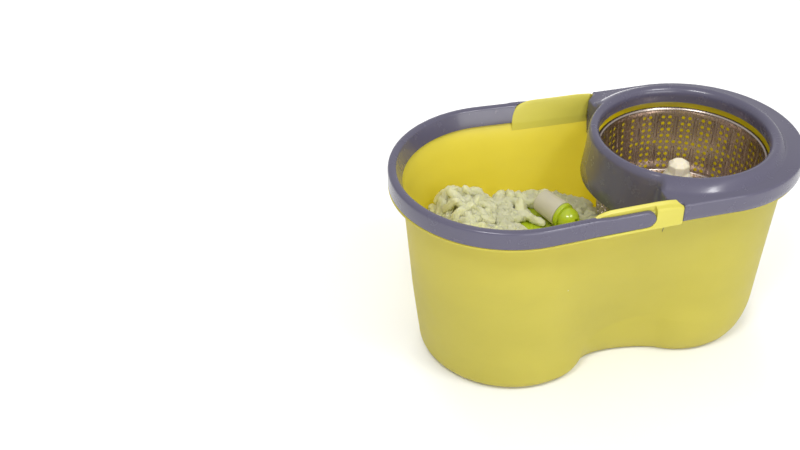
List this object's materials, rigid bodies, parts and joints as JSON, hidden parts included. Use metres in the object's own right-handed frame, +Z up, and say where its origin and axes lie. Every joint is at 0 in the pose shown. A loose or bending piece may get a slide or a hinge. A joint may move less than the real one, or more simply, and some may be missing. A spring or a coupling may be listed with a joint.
{
  "type": "spin mop bucket",
  "caption": "Oval two-lobe mop bucket with a swing handle, splash guard, spinning wringer basket on a spindle, and a tilting, swivelling strand mop head lying in the wash side.",
  "frame": {"origin": "under the middle of the tub's base, on the floor", "axes": "+X along the bucket towards the wringer basket, +Y across it, +Z up"},
  "size_m": [0.4704, 0.2596, 0.2514],
  "materials": {
    "tub_plastic": "satin moulded polypropylene, yellow",
    "trim_plastic": "glossy moulded plastic, grey violet",
    "basket_steel": "polished stainless sheet",
    "fastener_steel": "plain zinc-plated steel",
    "ivory_plastic": "moulded plastic, ivory",
    "white_plastic": "moulded plastic, white",
    "lime_plastic": "moulded plastic, lime green, slightly translucent",
    "sleeve_plastic": "satin moulded plastic, warm grey",
    "strand_microfibre": "looped microfibre strands, pale green white"
  },
  "bodies": {
    "bucket": {"tub": "tub_plastic", "splash_guard": "trim_plastic", "spindle_tower": "tub_plastic", "tower_screw_1": "fastener_steel", "tower_screw_2": "fastener_steel", "tower_screw_3": "fastener_steel", "spindle_shaft": "basket_steel", "thrust_washer": "basket_steel", "retaining_ring": "fastener_steel"},
    "basket": {"basket_drum": "basket_steel", "centre_column": "ivory_plastic", "hub_plate": "white_plastic", "lower_bush": "white_plastic", "upper_bush": "white_plastic", "basket_screw_1": "fastener_steel", "basket_screw_2": "fastener_steel", "basket_screw_3": "fastener_steel", "basket_screw_4": "fastener_steel"},
    "handle": {"carry_handle": "trim_plastic"},
    "mop_head": {"mop_plate": "lime_plastic", "strand_ring": "white_plastic", "mop_strands": "strand_microfibre"},
    "yoke": {"swivel_yoke": "lime_plastic", "swivel_washer": "basket_steel", "swivel_screw": "fastener_steel"},
    "socket": {"socket_knuckle": "lime_plastic", "socket_sleeve": "sleeve_plastic", "knuckle_pin": "basket_steel"}
  },
  "joints": [
    {"name": "basket_spin", "type": "hinge", "parent": "bucket", "child": "basket", "pos_m": [0.103, 0, 0.14], "axis": [0, 0, 1], "continuous": true},
    {"name": "handle_swing", "type": "hinge", "parent": "bucket", "child": "handle", "pos_m": [0.0047, 0, 0.2308], "axis": [0, 1, 0], "range_deg": [0, 90]},
    {"name": "head_lift", "type": "slide", "parent": "bucket", "child": "mop_head", "axis": [-0.6428, 0, 0.766], "range_m": [0, 0.3]},
    {"name": "mop_swivel", "type": "hinge", "parent": "mop_head", "child": "yoke", "pos_m": [-0.037, -0.009, 0.1365], "axis": [0.2079, 0, 0.9781], "continuous": true},
    {"name": "socket_tilt", "type": "hinge", "parent": "yoke", "child": "socket", "pos_m": [-0.03191, -0.009, 0.16046], "axis": [0.8792, 0.4384, -0.1869], "range_deg": [0, 90]}
  ]
}
